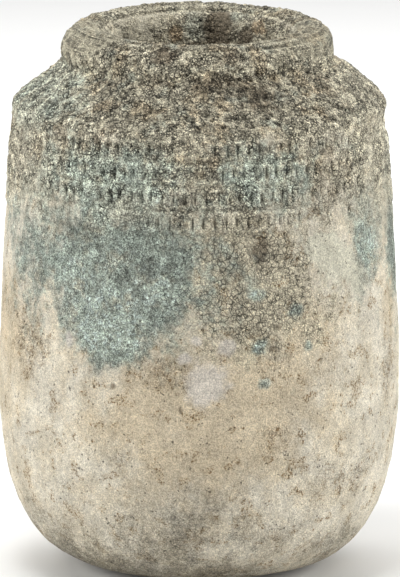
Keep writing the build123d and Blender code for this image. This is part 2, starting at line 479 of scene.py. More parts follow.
# Where the shape departs from round, in millimetres
SWELL = [
    (90, 480, 60, 11, -3.2), (90, 452, 70, 15, 3.4), (92, 414, 60, 12, -3.6), (-92, 440, 50, 8, 1.8),
    (-90, 458, 40, 7, -1.2), (-92, 416, 50, 10, -1.2), (180, 502, 110, 16, 2.8),
    (0, 502, 100, 12, -2.0),
]
LIME = [
    (2, 203, 22, 20, 0.85), (8, 238, 9, 9, 0.85), (-4, 228, 6, 5, 0.85), (-1, 244, 6, 5, 0.7),
    (-40, 237, 4, 8, 0.9), (-150, 215, 16, 18, 0.9), (115, 260, 20, 14, 0.8),
]
DUST = [
    (-68, 395, 40, 60, 0.8), (72, 405, 50, 70, 1.0), (75, 440, 50, 20, 0.5), (66, 352, 30, 26, 0.5),
    (-80, 480, 50, 30, 0.6), (-20, 360, 34, 14, 0.6), (-150, 500, 80, 14, 0.8),
    (-170, 440, 90, 40, 0.5),
]
# Stains, with painted shade in the crease under the rim from the patches at heights 455 to 470
STAIN_AND_CREASE_SHADE = [
    (18, 321, 9, 14, 0.7), (20, 329, 10, 7, 0.75), (18, 261, 6, 5, 0.35), (23, 254, 5, 4, 0.6),
    (21, 234, 8, 4, 0.6), (-5.3, 180, 1.5, 3.2, 1.0), (55, 463, 18, 9, 0.5), (-41, 466, 18, 8, 0.45),
    (-7, 409, 20, 12, 0.25), (39, 355, 22, 12, 0.3), (41, 402, 16, 14, 0.25), (-47, 423, 20, 11, 0.35),
    (-15, 493, 14, 9, 0.7), (13, 493, 14, 9, 0.65), (-25, 199, 2.4, 2.4, 1.0), (5, 468, 40, 10, 0.55),
    (24, 455, 26, 12, 0.55), (-20, 470, 24, 8, 0.4), (150, 330, 30, 20, 0.6),
]
# Dirt, with painted shade round the foot from the patches up to 84 mm high
DIRT_AND_FOOT_SHADE = [
    (-18, 6, 105, 50, 0.65), (180, 6, 240, 52, 0.9), (-52, 26, 46, 20, 0.6), (0, 84, 70, 30, 0.25),
    (-66, 52, 36, 26, 0.5), (10, 60, 110, 22, 0.25), (57, 40, 30, 16, 0.5), (7, 12, 30, 14, 0.8),
    (-75, 265, 22, 50, 0.3), (-34, 330, 44, 22, 0.1), (-46, 350, 30, 18, 0.3),
]
SCAB = [
    (44, 98, 62, 30, 0.5), (-1, 56, 18, 15, 0.8), (21, 233, 32, 24, 0.6), (-11, 211, 28, 20, 0.6),
    (-30, 222, 28, 15, 0.35), (70, 183, 26, 44, 0.5), (-58, 227, 44, 30, 0.6), (-20, 130, 30, 20, 0.4),
    (18, 150, 40, 24, 0.4), (-105, 240, 60, 40, 0.7), (130, 120, 70, 40, 0.7), (-160, 110, 60, 30, 0.7),
]

# Heights in millimetres over which a finish sets in or ends
CRUST_SETS_IN, CRUST_CLOSES = (305, 385), (396, 440)
STRIPS_START, STRIPS_END = (322, 338), (424, 438)
RELIEF_SETS_IN = (0.0, 14.0)

# Patches inside the mouth, in the same order as those on the outside
MOUTH_GLAZE = [(-178, 485, 10, 13, 0.9), (-125, 490, 22, 14, 0.2), (154, 497, 12, 8, 0.7)]
# The band at height 464 round the back is painted shadow low in the throat
MOUTH_STAIN_AND_SHADOW = [(167, 486, 13, 16, 1.0), (147, 480, 8, 8, 0.9), (180, 464, 120, 8, 0.6)]
MOUTH_RUST = [(-164, 481, 8, 8, 0.8), (137, 488, 12, 9, 0.8)]


def dents(place, sizes):
    """Depth of the rows of chip-shaped dents."""
    depth = np.zeros_like(place.angle)
    for row, strip in enumerate(STRIPS):
        middle = (bottom(strip) + top(strip)) / 2 / MM
        count = round(2 * math.pi * reach(strip) / sizes.dent_pitch)
        turn = place.angle / 360 * count + 0.37 * row
        index = np.floor(turn)
        across = (turn - index - 0.5 + 0.22 * (hashed(index, row) - 0.5)) * sizes.dent_pitch
        across = np.abs(across) / (sizes.dent_width * (0.36 + 0.3 * hashed(index, row + 9)))
        upward = np.abs(place.height - middle - 2 * (hashed(index, row + 17) - 0.5)) * MM
        upward = upward / (sizes.dent_length * (0.5 + 0.08 * hashed(index, row + 5)))
        chip = np.clip(1 - np.hypot(across, upward**1.5), 0, 1) ** 1.2
        chip = 1.2 * chip * (0.65 + 0.5 * hashed(index, row + 31))
        tooth = 0.34 * (turn - index) * np.clip(1.15 - upward, 0, 1) ** 0.5
        depth = np.maximum(depth, np.maximum(chip, tooth))
    worn = place.patches(WORN_DENTS)
    return depth * sizes.dent_depth * (1 - 0.9 * worn) * place.outer


def bands(place, sizes):
    """How far the strips and the cordon stand proud of the wall, with the coil marks of the shoulder."""
    proud = np.zeros_like(place.angle)
    for strip in STRIPS:
        low, high = bottom(strip) / MM, top(strip) / MM
        edge = np.minimum(place.height - low, high - place.height)
        proud += sizes.strip_proud * (1.2 * smooth(edge, -1.5, 4.0) - 0.2 * smooth(edge, -2.5, 0.5))
    low, high = place.ends["impressed_strip_1"], place.ends["shoulder_cordon"]
    middle = (place.along - (low + high) / 2) / ((high - low) / 2 + 1.5 * MM)
    cordon = sizes.cordon_proud * np.clip(1 - middle**2, 0, 1) ** 0.7
    low, high = high, place.ends["shoulder_ring"]
    turn = (place.along - low) / (high - low) * sizes.coil_count
    coil = 1 - (2 * (turn - np.floor(turn)) - 1) ** 2
    coils = sizes.coil_rise * np.where((turn > 0) & (turn < sizes.coil_count), coil, 0)
    coils *= 0.45 + 0.55 * place.patch(50, 452, 110, 40)
    return np.where(place.outer, np.maximum(proud, cordon), 0) + coils + folds(place, sizes) + swell(place)


def folds(place, sizes):
    """Soft grooves along the rolled lip."""
    r, z, way = outside(sizes)
    lip_r = (sizes.throat_radius + sizes.rim_radius) / 2
    lip_z = top("throat_ring")
    depth = np.zeros_like(place.angle)
    for fold in range(sizes.fold_count):
        angle = sizes.fold_start + fold * sizes.fold_step
        spot_r = lip_r + (sizes.rim_radius - lip_r) * math.cos(angle)
        spot_z = lip_z + (sizes.rim_height - lip_z) * math.sin(angle)
        spot = way[np.hypot(r - spot_r, z - spot_z).argmin()]
        depth += sizes.fold_depth * np.clip(1 - ((place.along - spot) / sizes.fold_width) ** 2, 0, 1)
    return -depth * (0.5 + 0.5 * place.patches(FOLD))


def swell(place):
    """How far the jar leaves the round, along its surface's normal."""
    return sum(amount * MM * place.patch(*spot) for *spot, amount in SWELL)


def paint(place):
    """Where each finish and each painted shade lies, as broad patches that noise then breaks up."""
    high = place.height
    outer = place.outer
    crust = np.maximum(smooth(high, *CRUST_CLOSES), 0.7 * smooth(high, *CRUST_SETS_IN))
    strip = smooth(high, *STRIPS_START) * (1 - smooth(high, *STRIPS_END))
    return {
        "crust": np.where(outer, crust, 0.56),
        "glaze": np.where(outer, place.patches(GLAZE), place.patches(MOUTH_GLAZE)),
        "blue": np.where(outer, place.patches(BLUE), 0.4),
        "tan": np.where(outer, place.patches(TAN), 0.2),
        "umber": np.where(outer, place.patches(UMBER), 0.0),
        "lime": np.where(outer, place.patches(LIME), 0.0),
        "chalk": np.where(outer, place.patches(CHALK), 0.0),
        "fold": np.where(outer, place.patches(FOLD), 0.0),
        "dust": np.where(outer, place.patches(DUST), 0.9),
        "stain_and_shade": np.where(outer, place.patches(STAIN_AND_CREASE_SHADE), place.patches(MOUTH_STAIN_AND_SHADOW)),
        "dirt_and_shade": place.patches(DIRT_AND_FOOT_SHADE),
        "strip": np.where(outer, strip, 0.0),
        "scab": np.where(outer, np.maximum(place.patches(SCAB), 0.16), 0.3),
        "rust": np.where(outer, 0.0, place.patches(MOUTH_RUST)),
        "calm": smooth(high, *RELIEF_SETS_IN),
    }


# How noise breaks up each finish: the range that becomes its edge, and the share of coarse and fine noise
BREAK_UP = {
    "crust": (0.15, 0.85, 1.2, 0.6),
    "glaze": (0.22, 0.78, 1.1, 0.7),
    "blue": (0.20, 0.80, 1.0, 0.7),
    "tan": (0.10, 0.90, 1.2, 0.6),
    "umber": (0.20, 0.80, 1.3, 0.9),
    "lime": (0.25, 0.75, 0.7, 0.7),
    "chalk": (0.34, 0.66, 1.0, 0.7),
    "fold": (0.25, 0.75, 0.8, 0.4),
    "dust": (0.10, 0.90, 1.0, 0.5),
    "stain_and_shade": (0.20, 0.80, 0.9, 1.0),
    "dirt_and_shade": (0.10, 0.95, 1.0, 0.7),
    "rust": (0.30, 0.70, 0.8, 0.8),
    "scab": (0.30, 0.80, 1.2, 1.0),
}


def relief(tree):
    """Breaks up the painted patches, raises the crust and pits the clay."""
    g = Graph(tree)
    tree.interface.new_socket("Geometry", in_out="INPUT", socket_type="NodeSocketGeometry")
    tree.interface.new_socket("Geometry", in_out="OUTPUT", socket_type="NodeSocketGeometry")
    shape = g.put("NodeGroupInput").outputs[0]
    where = g.put("GeometryNodeInputPosition").outputs[0]
    tall = g.vector("MULTIPLY", where, (1.0, 1.0, 0.55))
    normal = g.put("GeometryNodeInputNormal").outputs[0]
    rise = g.put("ShaderNodeSeparateXYZ", {0: normal}).outputs[2]

    def mark(name):
        return g.put("GeometryNodeInputNamedAttribute", {"Name": name}, data_type="FLOAT").outputs[0]

    def store(geometry, name, field):
        values = {"Geometry": geometry, "Name": name, "Value": field}
        kind = "GeometryNodeStoreNamedAttribute"
        return g.put(kind, values, data_type="FLOAT", domain="POINT").outputs[0]

    def swing(size, reach, detail=2, roughness=0.5, seed=0, space=where):
        """Noise from about minus a half to plus a half of its reach."""
        return g.times(g.add(g.noise(space, size, detail, roughness, seed), -0.5), reach)

    for seed, (name, (low, high, coarse, fine)) in enumerate(BREAK_UP.items()):
        broken = g.add(
            swing(24 * MM, coarse, 3, seed=seed + 1, space=tall), swing(6 * MM, fine, 2, seed=seed + 21)
        )
        shape = store(shape, name, g.ramp(g.add(mark(name), broken), low, high))

    crust, glaze, scab = mark("crust"), mark("glaze"), mark("scab")
    clumps = g.ramp(g.noise(where, 26 * MM, 2, seed=6), 0.36, 0.62, 0.25, 1.0)
    knobs = g.times(g.add(0.42, g.times(g.cells(where, 7.5 * MM), -1.0)), g.times(clumps, 2.6 * MM))
    grains = g.times(g.add(0.45, g.times(g.cells(where, 3.6 * MM), -1.0)), 1.5 * MM)
    lumps = g.add(swing(13 * MM, 3.6 * MM, 3, 0.6), swing(36 * MM, 4.5 * MM))
    hollows = g.times(g.ramp(g.noise(where, 5.5 * MM, 2, seed=8), 0.58, 0.68), -1.6 * MM)
    rough = g.times(crust, g.add(g.add(grains, lumps), g.add(knobs, hollows)))
    rough = g.times(rough, g.less(g.times(mark("fold"), 0.75)))
    rough = g.times(rough, g.less(g.times(mark("strip"), 0.55)))
    scabs = g.times(scab, g.add(g.times(grains, 0.8), swing(8 * MM, 2.5 * MM, 2, seed=5)))
    ripples = g.add(swing(18 * MM, 1.8 * MM, 3), swing(5 * MM, 1.0 * MM, 2))
    nicked = g.ramp(g.noise(where, 60 * MM, 2, seed=3), 0.46, 0.58)
    nicks = g.times(g.ramp(g.cells(where, 13 * MM), 0.06, 0.15, -0.7 * MM, 0.0), nicked)
    film = g.times(glaze, g.add(0.4 * MM, swing(4 * MM, 1.6 * MM, 2, seed=4)))
    plain = g.times(g.less(crust), g.add(g.add(ripples, nicks), g.add(film, scabs)))
    shape = store(shape, "relief", g.add(g.add(rough, plain), g.times(mark("lime"), 0.4 * MM)))

    # Height against the surrounding surface, which the material paints as shade in hollows and a highlight
    # on rises
    cut = g.math("SUBTRACT", mark("relief"), mark("dent"))
    values = {"Value": cut, "Iterations": 14}
    spread = g.put("GeometryNodeBlurAttribute", values, data_type="FLOAT").outputs[0]
    shape = store(shape, "cavity_for_painted_shade", g.math("SUBTRACT", cut, spread))
    # Upward tilt before and after the relief; the change becomes painted light on slopes that turn up and
    # painted shade on slopes that turn down
    shape = store(shape, "tilt_for_painted_light", rise)
    lift = g.add(g.add(cut, mark("proud")), swing(80 * MM, 4 * MM, 1))
    lift = g.times(lift, mark("calm"))
    offset = g.vector("SCALE", normal, lift)
    shape = g.put("GeometryNodeSetPosition", {"Geometry": shape, "Offset": offset}).outputs[0]
    shape = store(shape, "tilt_for_painted_light", g.math("SUBTRACT", rise, mark("tilt_for_painted_light")))
    g.put("NodeGroupOutput", {0: shape})


def weather(skin, sizes):
    """Presses the strips, then paints and roughens the whole skin."""
    place = Place(skin, sizes)
    channels = paint(place)
    channels["proud"] = bands(place, sizes)
    channels["dent"] = dents(place, sizes)
    for name, values in channels.items():
        keep(skin.data, name, values)
    tree = bpy.data.node_groups.new("weathering", "GeometryNodeTree")
    relief(tree)
    only(skin)
    bpy.ops.object.modifier_add(type="NODES")
    modifier = skin.modifiers[-1]
    modifier.node_group = tree
    bpy.ops.object.modifier_apply(modifier=modifier.name)
    for name in ("calm", "proud", "dent", "relief"):
        skin.data.attributes.remove(skin.data.attributes[name])


def new_material(name):
    """An empty node material and the graph that fills it."""
    material = bpy.data.materials.new(name)
    material.use_nodes = True
    material.node_tree.nodes.clear()
    return material, Graph(material.node_tree)


def skin_material(finish):
    """Fired clay with remains of glaze under a burial crust, with painted light and shade on its relief."""
    material, g = new_material("weathered_pottery")
    where = g.put("ShaderNodeTexCoord").outputs["Object"]

    def mark(name):
        return g.put("ShaderNodeAttribute", attribute_name=name).outputs["Fac"]

    def cloud(size, low, high, detail=3, seed=0):
        """Clouds of about that size, from 0 to 1."""
        return g.ramp(g.noise(where, size, detail, 0.6, seed), low, high)

    def speckle(size, strength, detail=1, seed=0, space=where):
        """Grains of about that size, from minus to plus the strength."""
        return g.ramp(g.noise(space, size, detail, 0.5, seed), 0.32, 0.68, -strength, strength)

    def over(amount, strength, below, above):
        """Lays one colour over another."""
        return g.mix(g.times(amount, strength), shade(below), shade(above))

    def shade(value):
        return value if isinstance(value, bpy.types.NodeSocket) else tuple(value)

    def bent(size):
        """The place, shifted so that cells of about that size lose their even shape."""
        values = {"Vector": where, "Scale": 1 / (1.6 * size), "Detail": 1.0}
        shift = g.put("ShaderNodeTexNoise", values).outputs["Color"]
        shift = g.vector("SCALE", shift, 1.3 * size)
        return g.vector("ADD", where, shift)

    def lumps(size, width):
        """Lumps of about that size: their height from 0 to 1, and the chinks between them, darkened as
        painted shade.
        """
        spot = bent(size)
        near = g.cells(spot, size)
        edge = g.ramp(g.cells(spot, size, feature="DISTANCE_TO_EDGE"), width, 0.02)
        return g.ramp(near, 0.05, 0.80, 1.0, 0.0), g.most(edge, g.ramp(near, 0.62, 0.85))

    def specks(size, share, seed):
        """Small scattered specks, one or none to a cell of about that size."""
        near = g.ramp(g.cells(bent(size), size), share, 0.5 * share)
        return g.times(near, cloud(3.2 * size, 0.46, 0.60, 2, seed))

    crust, glaze, tan, umber = mark("crust"), mark("glaze"), mark("tan"), mark("umber")
    lime, cavity_for_painted_shade, scab, dirt_and_shade = mark("lime"), mark("cavity_for_painted_shade"), mark("scab"), mark("dirt_and_shade")
    chalk, fold, blue = mark("chalk"), mark("fold"), mark("blue")
    bare_glaze = g.times(glaze, g.less(crust))
    mottle = cloud(11 * MM, 0.32, 0.68, 4, 3)

    clay = over(cloud(36 * MM, 0.40, 0.62, 4), 0.5, finish.cream, finish.buff)
    clay = over(cloud(17 * MM, 0.46, 0.64, 3, 12), 0.1, clay, finish.ash)
    clay = over(tan, 0.75, clay, finish.tan)
    clay = over(cloud(13 * MM, 0.52, 0.68, 3, 14), 0.2, clay, finish.tan)
    clay = over(umber, 0.85, clay, finish.umber)
    heaps = g.times(scab, cloud(9 * MM, 0.46, 0.54, 3, 55))
    heaps = g.most(cloud(15 * MM, 0.57, 0.62, 3, 54), heaps)
    crumbs = g.times(cloud(1.9 * MM, 0.56, 0.60, 1, 51), heaps)
    clay = over(heaps, 0.3, clay, finish.scab)
    clay = over(crumbs, 0.9, clay, finish.crumb)
    film = over(mottle, 1.0, finish.verdigris, finish.turquoise)
    film = over(cloud(22 * MM, 0.52, 0.66, 3, 15), 0.45, film, finish.umber)
    film = over(cloud(5 * MM, 0.46, 0.66, 3, 7), g.add(g.times(blue, 0.6), 0.3), film, finish.bluish)
    surface = over(glaze, 0.9, clay, film)
    rough = over(mottle, 0.6, finish.crust, finish.crust_pale)
    rough = over(cloud(24 * MM, 0.50, 0.66, 3, 16), 0.5, rough, finish.scab)
    rough = over(cloud(19 * MM, 0.54, 0.68, 3, 17), 0.5, rough, finish.verdigris)
    rough = over(glaze, 0.6, rough, film)
    surface = over(crust, 0.9, surface, rough)
    layers = (
        (mark("dust"), 0.6, finish.crust_pale),
        (fold, 0.45, finish.crust),
        (chalk, 0.8, finish.chalk),
        (lime, 0.8, finish.lime),
        # Stains, with painted shade under the rim and in the throat
        (mark("stain_and_shade"), 0.8, finish.stain_and_shade),
        (mark("rust"), 0.6, finish.rust),
        # Dirt, with painted shade round the foot
        (dirt_and_shade, 0.6, finish.dirt_and_shade),
    )
    for amount, strength, tint in layers:
        surface = over(amount, strength, surface, tint)

    harsh = g.most(crust, g.times(glaze, 0.75), g.times(umber, 0.5), g.times(dirt_and_shade, 0.5), g.times(scab, 0.4))
    smoothed = g.most(g.times(lime, 0.7), g.times(chalk, 0.15), g.times(fold, 0.3))
    harsh = g.times(harsh, g.less(smoothed))
    crazing = g.most(g.times(glaze, 0.4), umber, g.times(tan, 0.12))
    crazing = g.times(crazing, g.less(g.most(lime, g.times(crust, 0.7))))
    cluster = cloud(20 * MM, 0.46, 0.60, 3, 41)
    open_ground = cloud(9 * MM, 0.38, 0.56, 2, 42)
    coarse, coarse_crevice_shade = lumps(5.2 * MM, 0.14)
    medium, medium_crevice_shade = lumps(2.7 * MM, 0.27)
    cell_lines = g.cells(bent(5.4 * MM), 5.4 * MM, feature="DISTANCE_TO_EDGE")
    cell_lines = g.ramp(cell_lines, 0.085, 0.015)
    # Painted shade in the crevices between the lumps of the crust
    coarse_crevice_shade = g.times(coarse_crevice_shade, cluster)
    medium_crevice_shade = g.times(medium_crevice_shade, g.times(open_ground, g.less(g.times(cluster, 0.5))))
    crevice_shade = g.times(g.most(coarse_crevice_shade, medium_crevice_shade), g.add(g.times(harsh, 0.88), 0.08))
    crevice_shade = g.times(crevice_shade, g.less(g.times(bare_glaze, 0.4)))
    # Pits of the clay: dipped by the bump, with painted shade in them
    pits = g.times(specks(4.2 * MM, 0.27, 52), g.less(g.times(g.most(lime, crust), 0.8)))
    craze = g.times(g.times(cell_lines, cloud(26 * MM, 0.36, 0.50, 2, 23)), crazing)

    sand = g.ramp(g.noise(where, 1.2 * MM, 1), 0.32, 0.68, -0.85, 0.44)
    grit = g.add(sand, speckle(3.4 * MM, 0.2, 2, 33))
    scatter = cloud(14 * MM, 0.36, 0.58, 3, 43)
    spread = g.most(scatter, g.times(glaze, g.ramp(blue, 0.0, 0.8, 1.0, 0.4)))
    dark_specks = g.times(cloud(1.4 * MM, 0.42, 0.38, 1, 61), g.times(harsh, spread))
    # Pale grains of the crust, partly painted highlights on the grains
    pale_grains_and_glints = g.times(cloud(2.3 * MM, 0.58, 0.66, 1, 62), g.times(harsh, open_ground))
    lengthwise = g.vector("ADD", g.vector("SCALE", where, 0.10), mark("along"))
    streaks = g.times(speckle(3.4 * MM, 0.8, 1, 34, lengthwise), g.times(fold, open_ground))
    broad = g.add(speckle(36 * MM, 0.16, 3, 31), speckle(10 * MM, 0.07, 3, 32))
    contrast = g.add(g.times(harsh, 0.7), 0.5)
    stops = g.add(g.add(broad, streaks), g.times(grit, contrast))
    light = g.times(g.math("POWER", 2.0, stops), 1.19)
    # Painted light on slopes that the relief turns up, painted shade on slopes it turns down
    tilt_for_painted_light = g.ramp(mark("tilt_for_painted_light"), -0.5, 0.5, -0.29, 0.31)
    tilt_for_painted_light = g.times(tilt_for_painted_light, g.add(g.times(harsh, 0.8), 0.2))
    tilt_for_painted_light = g.times(tilt_for_painted_light, g.less(g.times(mark("strip"), 0.5)))
    # Lightens the colour: pale grains with painted highlights, the paler crust and the painted light by
    # tilt
    for amount, strength in ((pale_grains_and_glints, 0.16), (crust, 0.40), (tilt_for_painted_light, 1.0)):
        light = g.times(light, g.add(1.0, g.times(amount, strength)))
    # Darkens the colour: dark specks, folds and crazing as their own tone, painted shade in the crevices
    # and pits
    darker = [(dark_specks, 0.85), (fold, 0.18), (crevice_shade, 0.92), (pits, 0.65), (craze, 0.75)]
    darker.append((bare_glaze, g.ramp(blue, 0.0, 0.8, 0.24, 0.0)))
    for amount, strength in darker:
        light = g.times(light, g.less(g.times(amount, strength)))
    # Painted shade in hollows and a painted highlight on rises
    light = g.times(light, g.ramp(cavity_for_painted_shade, -0.2 * MM, -1.3 * MM, 1.0, 0.42))
    light = g.times(light, g.ramp(cavity_for_painted_shade, 0.2 * MM, 1.0 * MM, 1.0, 1.15))
    surface = g.vector("SCALE", surface, light)

    sheen = g.ramp(bare_glaze, 0.0, 1.0, 0.92, 0.68)
    raised = g.add(g.times(coarse, g.times(cluster, 1.5)), g.times(medium, g.times(open_ground, 1.3)))
    bumps = g.times(raised, g.add(g.times(harsh, 0.9), 0.1))
    bumps = g.add(bumps, g.times(g.add(grit, streaks), g.add(g.times(harsh, 0.15), 0.30)))
    bumps = g.add(bumps, g.add(speckle(7 * MM, 0.3, 3, 53), g.times(crumbs, 0.5)))
    bumps = g.math("SUBTRACT", bumps, g.times(pits, 0.6))
    bumps = g.math("SUBTRACT", bumps, g.add(g.times(crevice_shade, 0.5), g.times(craze, 0.5)))
    bump = g.put("ShaderNodeBump", {"Height": bumps, "Distance": 1.25 * MM, "Strength": 0.95}).outputs[0]
    shader = g.put("ShaderNodeBsdfPrincipled", {"Base Color": surface, "Roughness": sheen, "Normal": bump})
    shader.inputs["Specular IOR Level"].default_value = 0.3
    g.put("ShaderNodeOutputMaterial", {0: shader.outputs[0]})
    return material


def inside_material(finish):
    """Bare clay with the marks of wiping round the inside."""
    material, g = new_material("inner_clay")
    where = g.put("ShaderNodeTexCoord").outputs["Object"]
    cloud = g.noise(where, 30 * MM, 4, 0.6)
    fine = g.noise(where, 3 * MM, 3, 0.6)
    flat = g.vector("MULTIPLY", where, (1, 1, 9))
    wiped = g.noise(flat, 60 * MM, 2)
    clay = g.mix(g.ramp(cloud, 0.35, 0.68), tuple(finish.inside), tuple(finish.tan))
    clay = g.mix(g.ramp(fine, 0.55, 0.75, 0.0, 0.6), clay, tuple(finish.stain_and_shade))
    height = g.add(g.times(wiped, 2.0), g.times(fine, 0.4))
    bump = g.put("ShaderNodeBump", {"Height": height, "Distance": 2 * MM, "Strength": 0.6}).outputs[0]
    shader = g.put("ShaderNodeBsdfPrincipled", {"Base Color": clay, "Roughness": 0.95, "Normal": bump})
    g.put("ShaderNodeOutputMaterial", {0: shader.outputs[0]})
    return material


# Pieces

# Sizes that the outside hides
SLAB_FLOOR = 19 * MM  # thickness of the base slab
FLOOR_RINGS = (82 * MM, 40 * MM)  # radii of the rings of the floor inside the jar
SLAB_RADIUS = 100 * MM  # inner edge of the joint between slab and heel
HEEL_RADIUS = 164.5 * MM  # inner edge of the joint between heel and lower wall
HEEL_INSIDE = [(126 * MM, 34 * MM), (143 * MM, 52 * MM), (157 * MM, 82 * MM)]
UPPER_INSIDE = [(162 * MM, 370 * MM), (158 * MM, 421 * MM)]
SHOULDER_INSIDE = [(164 * MM, 429 * MM), (157 * MM, 422 * MM)]
CORDON_BACK = [(167.5 * MM, 426.5 * MM), (164.5 * MM, 431.5 * MM)]
LOWER_BEND, MIDDLE_BEND = 150 * MM, 240 * MM  # heights where the inside of the wall bends
BEND_IN = 1 * MM  # how far the inside of the wall is drawn in there
UPPER_IN = 3 * MM  # and at the foot of the upper wall
SHOULDER_EDGE = 118 * MM  # inner edge of the shoulder
SHOULDER_DROP = 1 * MM  # from the throat ring down to that edge
THROAT_RADIUS = 116 * MM  # foot of the throat ring
FLANGE_STEP = 2 * MM  # from the edge of the throat ring in to the seat of the lip
STRIP_BED = 3 * MM  # depth of the wall behind the strips
BED_STEP = 6 * MM  # from the widest part of the upper wall in to the strips
STRIP_SEAT = 4.6 * MM  # from the straight wall in to the back of a strip
WALL_TAPER = 0.07  # how much the straight wall widens downwards


def open_loops(mesh):
    """The open edges of a piece being edited, as loops in their order along the outside."""
    layer = mesh.verts.layers.float["along"]
    left = {edge for edge in mesh.edges if edge.is_boundary}
    loops = []
    while left:
        start = left.pop()
        loop, ends = [start], list(start.verts)
        while ends:
            for edge in ends.pop().link_edges:
                if edge in left:
                    left.remove(edge)
                    loop.append(edge)
                    ends += edge.verts
        loops.append(loop)
    return sorted(loops, key=lambda loop: sum(edge.verts[0][layer] for edge in loop) / len(loop))


def select_loops(mesh, *loops):
    """Selects these loops of edges and nothing else."""
    bpy.ops.mesh.select_all(action="DESELECT")
    for loop in loops:
        for edge in loop:
            edge.select_set(True)
    mesh.select_flush_mode()


def back_up(piece, path):
    """Gives a piece of the skin its thickness: its first open edge is drawn along the path,
    which is a list of (radius, height), and bridged to its other open edge or closed to a point."""
    only(piece)
    faces = len(piece.data.polygons)
    bpy.ops.object.mode_set(mode="EDIT")
    bpy.ops.mesh.select_mode(type="EDGE")
    mesh = bmesh.from_edit_mesh(piece.data)
    loops = open_loops(mesh)
    select_loops(mesh, *loops)
    bpy.ops.mesh.mark_sharp()
    mesh = bmesh.from_edit_mesh(piece.data)
    loops = open_loops(mesh)
    select_loops(mesh, loops[0])
    spots = [vertex.co for edge in loops[0] for vertex in edge.verts]
    r0 = sum(math.hypot(p.x, p.y) for p in spots) / len(spots)
    z0 = sum(p.z for p in spots) / len(spots)
    for r1, z1 in path:
        bpy.ops.mesh.extrude_edges_move(TRANSFORM_OT_translate={"value": (0, 0, z1 - z0)})
        bpy.ops.transform.resize(value=(r1 / r0, r1 / r0, 1), center_override=(0, 0, 0))
        r0, z0 = r1, z1
    if len(loops) == 1:
        bpy.ops.mesh.merge(type="CENTER")
    else:
        mesh = bmesh.from_edit_mesh(piece.data)
        select_loops(mesh, *open_loops(mesh))
        bpy.ops.mesh.bridge_edge_loops()
    bpy.ops.mesh.select_all(action="SELECT")
    bpy.ops.mesh.normals_make_consistent(inside=False)
    bpy.ops.object.mode_set(mode="OBJECT")
    piece.data.materials.append(bpy.data.materials["inner_clay"])
    for polygon in piece.data.polygons[faces:]:
        polygon.material_index = 1
    bpy.ops.object.shade_smooth()


def settle(piece, node):
    """Names a finished piece and ties it to the frame."""
    piece.name = "weathered_" + node
    piece.data.name = piece.name
    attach(piece, "root")
    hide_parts(node)


def finish_piece(node, path):
    """Gives a piece its back and ties it to the frame."""
    piece = bpy.data.objects["skin_" + node]
    back_up(piece, path)
    settle(piece, node)


class JAR_OT_skin(Operator):
    """Draws up the outside of the jar, weathers it and parts it into the pieces"""

    bl_idname = "jar.skin"
    bl_label = "Outside"

    def execute(self, context):
        sizes, finish = context.scene.jar_sizes, context.scene.jar_finish
        skin = throw_skin(sizes)
        material = skin_material(finish)
        inside_material(finish)
        names, ends, _ = zip(*courses(sizes))
        for _ in names:
            skin.data.materials.append(material)
        subdivide(skin, sizes.levels)
        weather(skin, sizes)
        only(skin)
        bpy.ops.object.mode_set(mode="EDIT")
        bpy.ops.mesh.separate(type="MATERIAL")
        bpy.ops.object.mode_set(mode="OBJECT")
        for piece in list(context.selected_objects):
            middle = kept(piece.data, "along").mean()
            piece.name = "skin_" + names[int(np.searchsorted(ends, middle))]
        return {"FINISHED"}


class JAR_OT_base(Operator):
    """Gives the base slab its thickness and its floor"""

    bl_idname = "jar.base"
    bl_label = "Base slab"

    def execute(self, context):
        floor = bottom("heel_ring") + SLAB_FLOOR
        edge = (SLAB_RADIUS, top("base_slab"))
        finish_piece("base_slab", [edge, *((radius, floor) for radius in FLOOR_RINGS)])
        return {"FINISHED"}


class JAR_OT_wall(Operator):
    """Gives the rings of the wall their thickness"""

    bl_idname = "jar.wall"
    bl_label = "Wall rings"

    def execute(self, context):
        sizes = context.scene.jar_sizes
        inner = sizes.belly_radius - sizes.wall
        heel, lower, middle = top("heel_ring"), top("lower_wall_ring"), top("middle_wall_ring")
        paths = {
            "heel_ring": [(SLAB_RADIUS, top("base_slab")), *HEEL_INSIDE, (HEEL_RADIUS, heel)],
            "lower_wall_ring": [(HEEL_RADIUS, heel), (inner - BEND_IN, LOWER_BEND), (inner, lower)],
            "middle_wall_ring": [
                (inner, lower), (inner - BEND_IN, MIDDLE_BEND), (inner - UPPER_IN, middle),
            ],
            "upper_wall_ring": [
                (inner - UPPER_IN, middle),
                *UPPER_INSIDE,
                (sizes.shoulder_radius - STRIP_BED, top("impressed_strip_1")),
                (reach("upper_wall_ring") - BED_STEP - STRIP_BED, bottom("impressed_strip_4")),
            ],
        }
        for node, path in paths.items():
            finish_piece(node, path)
        return {"FINISHED"}


class JAR_OT_shoulder(Operator):
    """Gives the shoulder ring its thickness"""

    bl_idname = "jar.shoulder"
    bl_label = "Shoulder ring"

    def execute(self, context):
        edge = (SHOULDER_EDGE, bottom("throat_ring") - SHOULDER_DROP)
        finish_piece("shoulder_ring", [*SHOULDER_INSIDE, edge])
        return {"FINISHED"}


class JAR_OT_cordon(Operator):
    """Gives the cordon on the shoulder's corner its back"""

    bl_idname = "jar.cordon"
    bl_label = "Cordon"

    def execute(self, context):
        finish_piece("shoulder_cordon", CORDON_BACK)
        return {"FINISHED"}


class JAR_OT_strips(Operator):
    """Gives the impressed strips their seats"""

    bl_idname = "jar.strips"
    bl_label = "Impressed strips"

    def execute(self, context):
        sizes = context.scene.jar_sizes
        for strip in STRIPS:
            path = []
            for height in (bottom(strip), top(strip)):
                wall = sizes.shoulder_radius + (sizes.shoulder_height - height) * WALL_TAPER
                path.append((wall - STRIP_SEAT, height))
            finish_piece(strip, path)
        return {"FINISHED"}


